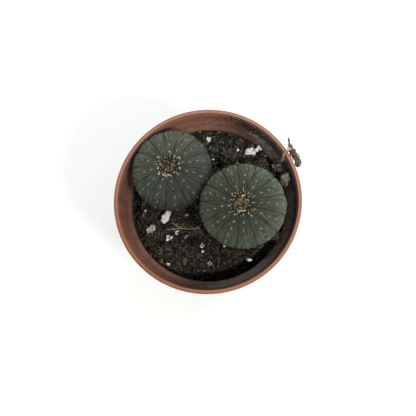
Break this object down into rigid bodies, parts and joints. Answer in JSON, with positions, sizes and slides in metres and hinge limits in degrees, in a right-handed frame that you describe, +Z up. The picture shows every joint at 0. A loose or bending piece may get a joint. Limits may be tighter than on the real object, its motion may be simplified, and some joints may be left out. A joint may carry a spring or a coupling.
{
  "type": "potted frailea asterioides",
  "caption": "Two small flattened ribbed cacti in gritty peat soil with white perlite, in a round terracotta-coloured plastic nursery pot.",
  "frame": {"origin": "middle of the pot's flat base, on the surface that it stands on", "axes": "+Z up along the pot's axis, +X to the right and +Y to the top of the view from above"},
  "size_m": [0.0552, 0.055, 0.0592],
  "materials": {
    "clay_plastic": "satin",
    "peat": "matte",
    "cactus_skin": "matte",
    "perlite": "matte",
    "stone": "satin",
    "dry_fibre": "matte"
  },
  "bodies": {
    "root": {"pot": "clay_plastic", "soil": "peat", "cactus_left": "cactus_skin", "cactus_right": "cactus_skin", "perlite_01": "perlite", "perlite_02": "perlite", "perlite_03": "perlite", "perlite_04": "perlite", "perlite_05": "perlite", "perlite_06": "perlite", "perlite_07": "perlite", "perlite_08": "perlite", "perlite_09": "perlite", "perlite_10": "perlite", "perlite_11": "perlite", "perlite_12": "perlite", "perlite_13": "perlite", "perlite_14": "perlite", "perlite_15": "perlite", "perlite_16": "perlite", "grit_pebble": "stone", "soil_clod": "peat", "fibre_lump_back": "dry_fibre", "fibre_lump_front": "dry_fibre", "seed_husk": "dry_fibre", "bark_chip": "dry_fibre", "root_fibre": "dry_fibre", "rim_crumb": "dry_fibre"}
  },
  "joints": []
}
